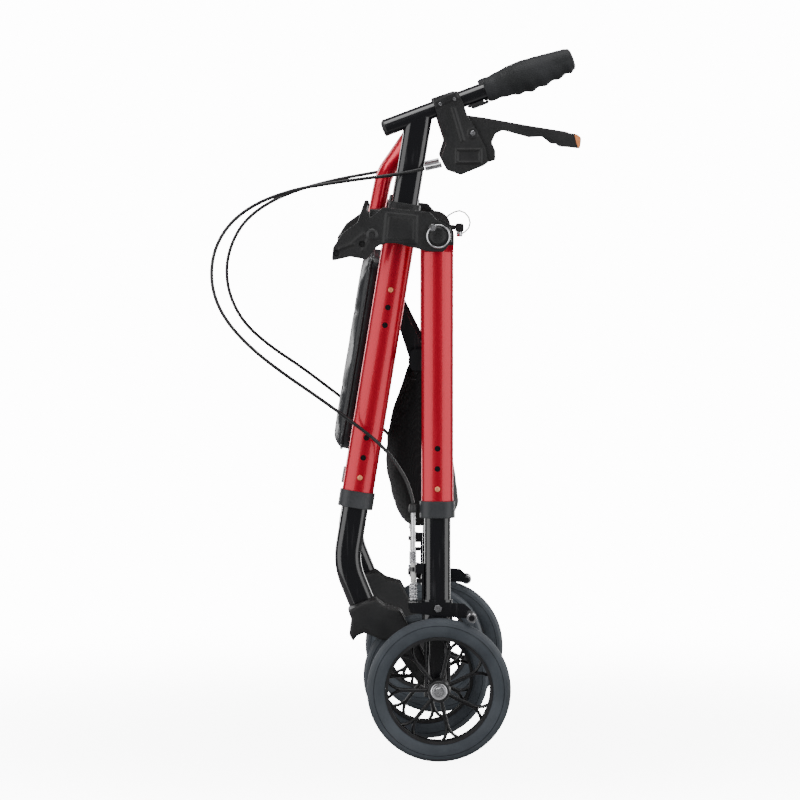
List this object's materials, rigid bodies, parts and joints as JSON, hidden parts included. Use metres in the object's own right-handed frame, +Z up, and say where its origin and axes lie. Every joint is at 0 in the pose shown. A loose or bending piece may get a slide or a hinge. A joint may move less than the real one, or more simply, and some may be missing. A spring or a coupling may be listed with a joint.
{
  "type": "folding rollator walker",
  "caption": "Folding wheeled walker, shown folded, with telescoping legs and handle posts, loop brakes, casters, seat and pouch.",
  "frame": {"origin": "on the floor, midway between the rear wheels, directly under the rear axles", "axes": "+X towards the user (rear), +Y towards the user's right, +Z up"},
  "size_m": [0.5242, 0.633, 1.0033],
  "materials": {
    "red_paint": "metallic red lacquer, glossy",
    "black_paint": "gloss black powder coat",
    "black_plastic": "moulded, satin",
    "grey_plastic": "moulded, satin",
    "rim_plastic": "moulded, semi-gloss",
    "tyre": "soft grey tyre",
    "grip_rubber": "soft moulded",
    "cable": "smooth black sheath",
    "brass_clip": "bright",
    "steel": "bright zinc",
    "seat_vinyl": "soft black vinyl",
    "pouch_fabric": "black woven polyester"
  },
  "bodies": {
    "rear_frame": {"rear_tube_left": "red_paint", "rear_tube_right": "red_paint", "rear_collars": "grey_plastic", "rear_crossbar": "black_paint", "pouch": "pouch_fabric"},
    "front_frame": {"front_tube_left": "red_paint", "front_tube_right": "red_paint", "front_collars": "grey_plastic", "side_bracket_left": "black_plastic", "side_bracket_right": "black_plastic", "hoop_tube": "red_paint", "seat_bar": "black_paint", "pivot_bolts": "black_plastic", "brake_cable_left": "cable", "brake_cable_right": "cable"},
    "seat": {"seat_pad": "seat_vinyl", "seat_board": "black_plastic"},
    "seat_link": {"seat_links": "black_paint"},
    "rear_leg_left": {"rear_extension_left": "black_paint", "brake_bracket_left": "black_paint", "cable_adjuster_left": "steel", "rear_axle_left": "steel"},
    "rear_clip_left": {"rear_clip_left": "brass_clip"},
    "brake_arm_left": {"brake_arm_left": "black_paint", "brake_shoe_left": "steel"},
    "rear_wheel_left": {"rear_rim_left": "rim_plastic", "rear_tyre_left": "tyre"},
    "front_leg_left": {"front_extension_left": "black_paint"},
    "front_clip_left": {"front_clip_left": "brass_clip"},
    "caster_left": {"caster_fork_left": "black_plastic"},
    "front_wheel_left": {"front_rim_left": "rim_plastic", "front_tyre_left": "tyre"},
    "handle_left": {"handle_post_left": "black_paint", "grip_left": "grip_rubber", "brake_housing_left": "black_plastic", "cable_ferrule_left": "steel"},
    "handle_clip_left": {"handle_clip_left": "brass_clip"},
    "brake_lever_left": {"brake_lever_left": "black_plastic"},
    "lock_pin_left": {"lock_pin_left": "steel"},
    "rear_leg_right": {"rear_extension_right": "black_paint", "brake_bracket_right": "black_paint", "cable_adjuster_right": "steel", "rear_axle_right": "steel"},
    "rear_clip_right": {"rear_clip_right": "brass_clip"},
    "brake_arm_right": {"brake_arm_right": "black_paint", "brake_shoe_right": "steel"},
    "rear_wheel_right": {"rear_rim_right": "rim_plastic", "rear_tyre_right": "tyre"},
    "front_leg_right": {"front_extension_right": "black_paint"},
    "front_clip_right": {"front_clip_right": "brass_clip"},
    "caster_right": {"caster_fork_right": "black_plastic"},
    "front_wheel_right": {"front_rim_right": "rim_plastic", "front_tyre_right": "tyre"},
    "handle_right": {"handle_post_right": "black_paint", "grip_right": "grip_rubber", "brake_housing_right": "black_plastic", "cable_ferrule_right": "steel"},
    "handle_clip_right": {"handle_clip_right": "brass_clip"},
    "brake_lever_right": {"brake_lever_right": "black_plastic"},
    "lock_pin_right": {"lock_pin_right": "steel"}
  },
  "joints": [
    {"name": "fold", "type": "hinge", "parent": "rear_frame", "child": "front_frame", "pos_m": [-0.002, 0, 0.74], "axis": [0, 1, 0], "range_deg": [0, 46], "deforming": ["brake_cable_left", "brake_cable_right", "pouch"]},
    {"name": "seat_hinge", "type": "hinge", "parent": "front_frame", "child": "seat", "pos_m": [-0.08328, 0, 0.53152], "axis": [0, 1, 0], "range_deg": [0, 57.2]},
    {"name": "seat_link_pivot", "type": "hinge", "parent": "rear_frame", "child": "seat_link", "pos_m": [-0.028, 0, 0.564], "axis": [0, -1, 0], "range_deg": [0, 38.8]},
    {"name": "rear_leg_slide_left", "type": "slide", "parent": "rear_frame", "child": "rear_leg_left", "axis": [0, 0, 1], "range_m": [0, 0.0572], "deforming": ["rear_clip_left"]},
    {"name": "front_leg_slide_left", "type": "slide", "parent": "front_frame", "child": "front_leg_left", "axis": [0.1616, 0, 0.9869], "range_m": [0, 0.0572], "deforming": ["front_clip_left"]},
    {"name": "handle_slide_left", "type": "slide", "parent": "front_frame", "child": "handle_left", "axis": [-0.1616, 0, -0.9869], "range_m": [0, 0.0508], "deforming": ["handle_clip_left"]},
    {"name": "rear_clip_press_left", "type": "slide", "parent": "rear_leg_left", "child": "rear_clip_left", "axis": [0, 1, 0], "range_m": [0, 0.005], "stiffness_N_per_m": 400, "springref_m": -0.002},
    {"name": "front_clip_press_left", "type": "slide", "parent": "front_leg_left", "child": "front_clip_left", "axis": [0, 1, 0], "range_m": [0, 0.005], "stiffness_N_per_m": 400, "springref_m": -0.002},
    {"name": "handle_clip_press_left", "type": "slide", "parent": "handle_left", "child": "handle_clip_left", "axis": [0, 1, 0], "range_m": [0, 0.005], "stiffness_N_per_m": 400, "springref_m": -0.002},
    {"name": "caster_swivel_left", "type": "hinge", "parent": "front_leg_left", "child": "caster_left", "pos_m": [-0.10981, -0.212, 0.22015], "axis": [-0.3746, 0, 0.9272], "range_deg": [-2, 190]},
    {"name": "front_wheel_spin_left", "type": "hinge", "parent": "caster_left", "child": "front_wheel_left", "pos_m": [-0.01789, -0.212, 0.11277], "axis": [0, 1, 0], "continuous": true},
    {"name": "rear_wheel_spin_left", "type": "hinge", "parent": "rear_leg_left", "child": "rear_wheel_left", "pos_m": [0, -0.29, 0.1015], "axis": [0, 1, 0], "continuous": true},
    {"name": "brake_lever_squeeze_left", "type": "hinge", "parent": "handle_left", "child": "brake_lever_left", "pos_m": [0.048, -0.212, 0.884], "axis": [0, -1, 0], "range_deg": [0, 18], "stiffness_Nm_per_rad": 1, "springref_deg": -20.05},
    {"name": "brake_arm_pivot_left", "type": "hinge", "parent": "rear_leg_left", "child": "brake_arm_left", "pos_m": [-0.001, -0.252, 0.2143], "axis": [0, 1, 0], "range_deg": [0, 3]},
    {"name": "lock_pin_pull_left", "type": "slide", "parent": "front_frame", "child": "lock_pin_left", "axis": [0, -1, 0], "range_m": [0, 0.014]},
    {"name": "rear_leg_slide_right", "type": "slide", "parent": "rear_frame", "child": "rear_leg_right", "axis": [0, 0, 1], "range_m": [0, 0.0572], "deforming": ["rear_clip_right"]},
    {"name": "front_leg_slide_right", "type": "slide", "parent": "front_frame", "child": "front_leg_right", "axis": [0.1616, 0, 0.9869], "range_m": [0, 0.0572], "deforming": ["front_clip_right"]},
    {"name": "handle_slide_right", "type": "slide", "parent": "front_frame", "child": "handle_right", "axis": [-0.1616, 0, -0.9869], "range_m": [0, 0.0508], "deforming": ["handle_clip_right"]},
    {"name": "rear_clip_press_right", "type": "slide", "parent": "rear_leg_right", "child": "rear_clip_right", "axis": [0, -1, 0], "range_m": [0, 0.005], "stiffness_N_per_m": 400, "springref_m": -0.002},
    {"name": "front_clip_press_right", "type": "slide", "parent": "front_leg_right", "child": "front_clip_right", "axis": [0, -1, 0], "range_m": [0, 0.005], "stiffness_N_per_m": 400, "springref_m": -0.002},
    {"name": "handle_clip_press_right", "type": "slide", "parent": "handle_right", "child": "handle_clip_right", "axis": [0, -1, 0], "range_m": [0, 0.005], "stiffness_N_per_m": 400, "springref_m": -0.002},
    {"name": "caster_swivel_right", "type": "hinge", "parent": "front_leg_right", "child": "caster_right", "pos_m": [-0.10981, 0.212, 0.22015], "axis": [0.3746, 0, -0.9272], "range_deg": [-2, 190]},
    {"name": "front_wheel_spin_right", "type": "hinge", "parent": "caster_right", "child": "front_wheel_right", "pos_m": [-0.01789, 0.212, 0.11277], "axis": [0, 1, 0], "continuous": true},
    {"name": "rear_wheel_spin_right", "type": "hinge", "parent": "rear_leg_right", "child": "rear_wheel_right", "pos_m": [0, 0.29, 0.1015], "axis": [0, 1, 0], "continuous": true},
    {"name": "brake_lever_squeeze_right", "type": "hinge", "parent": "handle_right", "child": "brake_lever_right", "pos_m": [0.048, 0.212, 0.884], "axis": [0, -1, 0], "range_deg": [0, 18], "stiffness_Nm_per_rad": 1, "springref_deg": -20.05},
    {"name": "brake_arm_pivot_right", "type": "hinge", "parent": "rear_leg_right", "child": "brake_arm_right", "pos_m": [-0.001, 0.252, 0.2143], "axis": [0, 1, 0], "range_deg": [0, 3]},
    {"name": "lock_pin_pull_right", "type": "slide", "parent": "front_frame", "child": "lock_pin_right", "axis": [0, 1, 0], "range_m": [0, 0.014]}
  ],
  "couplings": [
    {"joint": "seat_hinge", "follows": "fold", "ratio": 1.2391},
    {"joint": "seat_link_pivot", "follows": "fold", "ratio": 0.83913},
    {"joint": "brake_arm_pivot_left", "follows": "brake_lever_squeeze_left", "ratio": 0.16111},
    {"joint": "brake_arm_pivot_right", "follows": "brake_lever_squeeze_right", "ratio": 0.16111}
  ]
}
